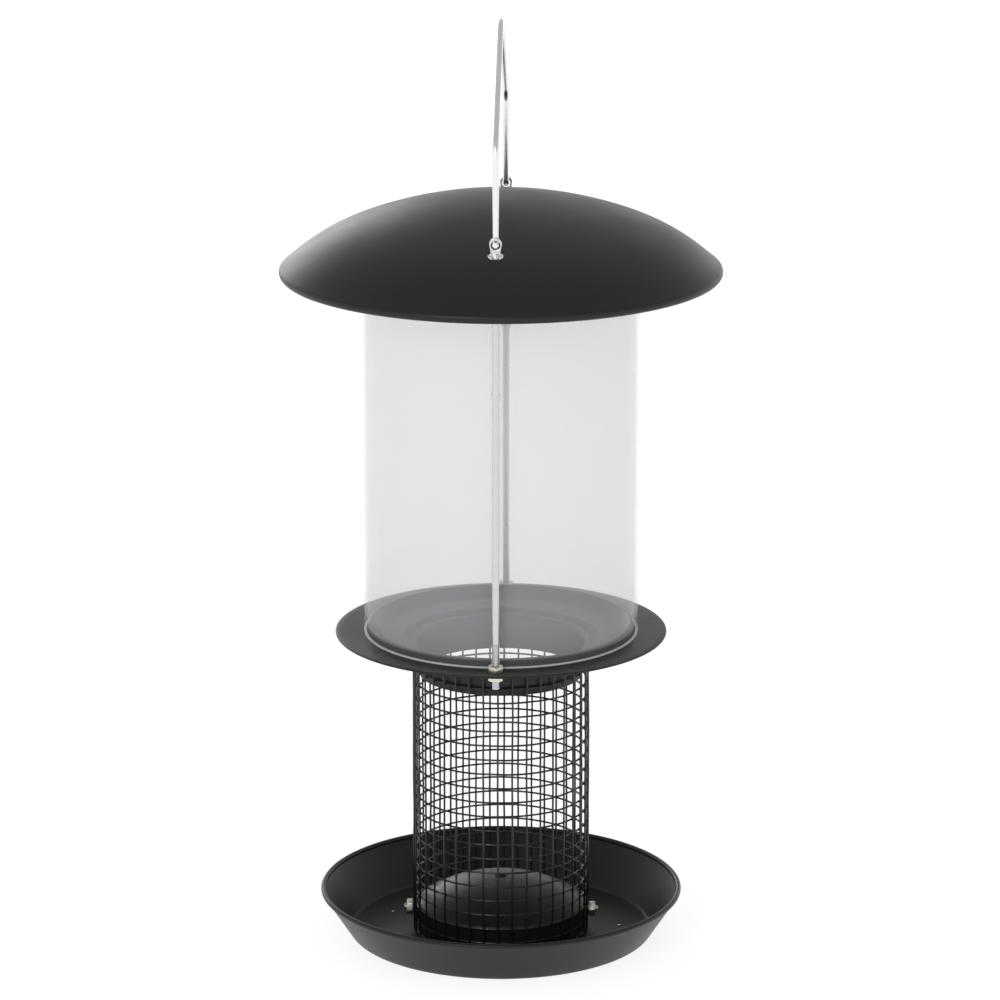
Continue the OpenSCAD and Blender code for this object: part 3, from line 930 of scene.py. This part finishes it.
def domed(piece, y):
    """Closes the open end of the wire that faces along Y at a place, with rounded edges."""
    ring = [v.index for v in piece.data.vertices if abs(v.co.y - y) < 1e-6]
    centre = (0, y, eye_z)
    out = math.copysign(TIP_DOME, y)
    start_piece()
    bpy.context.view_layer.objects.active = piece
    for part in (piece.data.polygons, piece.data.edges):
        for element in part:
            element.select = all(i in ring for i in element.vertices)
    for v in piece.data.vertices:
        v.select = v.index in ring
    bpy.ops.object.mode_set(mode="EDIT")
    for size, move in ((0.92, 0.5), (0.7, 0.4), (0.3, 0.1)):
        bpy.ops.mesh.extrude_region_move(TRANSFORM_OT_translate={"value": (0, out * move, 0)})
        bpy.ops.transform.resize(value=(size, 1, size), center_override=centre)
    bpy.ops.mesh.merge(type="CENTER")
    bpy.ops.object.mode_set(mode="OBJECT")
    return piece


leg_y = rod_y - LEG_INSET
hook_y = leg_y + HOOK_BEND
tip_y = rod_y + HOOK_REACH
apex_z = bail_high.z - BAIL_R - APEX_BEND
arm_top_y = APEX_BEND * math.sin(SLOPE)
arm_top_z = apex_z + APEX_BEND * math.cos(SLOPE)
arm_low_y = leg_y - ARM_BEND * (1 - math.sin(SLOPE))
arm_low_z = arm_top_z - (arm_low_y - arm_top_y) * math.tan(SLOPE)
leg_top = arm_low_z - ARM_BEND * math.cos(SLOPE)
quarter = math.pi / 2
bail = sweep((0, -tip_y, eye_z), [
    (0, tip_y - hook_y, 0),
    (quarter, (0, -hook_y, eye_z + HOOK_BEND)),
    (0, 0, leg_top - eye_z - HOOK_BEND),
    (SLOPE - quarter, (0, ARM_BEND - leg_y, leg_top)),
    (0, arm_low_y - arm_top_y, arm_top_z - arm_low_z),
    (-2 * SLOPE, (0, 0, apex_z)),
    (0, arm_low_y - arm_top_y, arm_low_z - arm_top_z),
    (SLOPE - quarter, (0, leg_y - ARM_BEND, leg_top)),
    (0, 0, eye_z + HOOK_BEND - leg_top),
    (quarter, (0, hook_y, eye_z + HOOK_BEND)),
    (0, tip_y - hook_y, 0),
])
for end in (-tip_y, tip_y):
    domed(bail, end)
bail.name = "wire_bail"
bpy.ops.object.mode_set(mode="EDIT")
bpy.ops.mesh.select_all(action="SELECT")
bpy.ops.mesh.remove_doubles(threshold=1e-6)
bpy.ops.mesh.normals_make_consistent(inside=False)
bpy.ops.object.mode_set(mode="OBJECT")
finish_piece(bail, plated_wire(), "bail", ["bail"], 50)

# ---- Floor, light and camera --------------------------------------------------------------------
# A pale floor that glows a little, under a room that is bright low down and darker overhead, and
# a long lens a little above the feeder.

ROOM_LOW = 1.05
ROOM_HIGH = 0.52


def pale_floor():
    """Matt white board, lit from under as well as over."""
    board = Finish(
        "pale_floor", Metallic=0.0, Roughness=0.9, Emission_Color=(1, 1, 1, 1), Emission_Strength=0.84
    )
    tone = board.noise(3, detail=2)
    return board.set(Base_Color=board.blend(tone, (0.26, 0.26, 0.26), (0.30, 0.30, 0.30)))


start_piece()
bpy.ops.mesh.primitive_plane_add(size=14, location=(0, 3, 0))
floor = bpy.context.object
floor.name = "floor"
bpy.ops.object.transform_apply(location=True, rotation=True, scale=True)
floor.data.materials.append(pale_floor())

world = bpy.data.worlds.new("studio")
bpy.context.scene.world = world
world.use_nodes = True
nodes, links = world.node_tree.nodes, world.node_tree.links
direction = nodes.new("ShaderNodeTexCoord").outputs["Generated"]
height = nodes.new("ShaderNodeSeparateXYZ")
links.new(direction, height.inputs[0])
room = nodes.new("ShaderNodeMapRange")
room.interpolation_type = "SMOOTHSTEP"
for socket, value in (("From Min", 0.08), ("From Max", 0.5), ("To Min", ROOM_LOW), ("To Max", ROOM_HIGH)):
    room.inputs[socket].default_value = value
links.new(height.outputs["Z"], room.inputs["Value"])
links.new(room.outputs[0], nodes["Background"].inputs["Strength"])
nodes["Background"].inputs["Color"].default_value = (1, 1, 1, 1)


def softbox(name, location, size, power):
    """A square soft light that faces the feeder's middle."""
    start_piece()
    bpy.ops.object.light_add(type="AREA", location=location)
    lamp = bpy.context.object
    lamp.name = name
    lamp.data.shape = "SQUARE"
    lamp.data.size = size
    lamp.data.energy = power
    lamp.rotation_euler = (Vector((0, 0, 0.25)) - Vector(location)).to_track_quat("-Z", "Y").to_euler()
    return lamp


softbox("softbox_front", (-0.9, -2.4, 1.5), 0.8, 14)
softbox("softbox_back_left", (-1.15, 3.0, 0.8), 1.2, 12)
softbox("softbox_back_right", (1.3, 3.0, 0.5), 1.0, 2.5)

LENS = 181.4
PITCH = math.radians(15.14)
AZIMUTH = math.radians(2.0)
DISTANCE = 2.526
AIM = Vector((0.0, 0.0, 0.2272))
back = Vector((
    math.sin(AZIMUTH) * math.cos(PITCH),
    -math.cos(AZIMUTH) * math.cos(PITCH),
    math.sin(PITCH),
))
bpy.ops.object.camera_add(location=AIM + back * DISTANCE)
camera = bpy.context.object
camera.data.lens = LENS
camera.rotation_euler = (-back).to_track_quat("-Z", "Y").to_euler()
camera.data.shift_x = -0.001
bpy.context.scene.camera = camera
bpy.context.scene.view_settings.view_transform = "Standard"
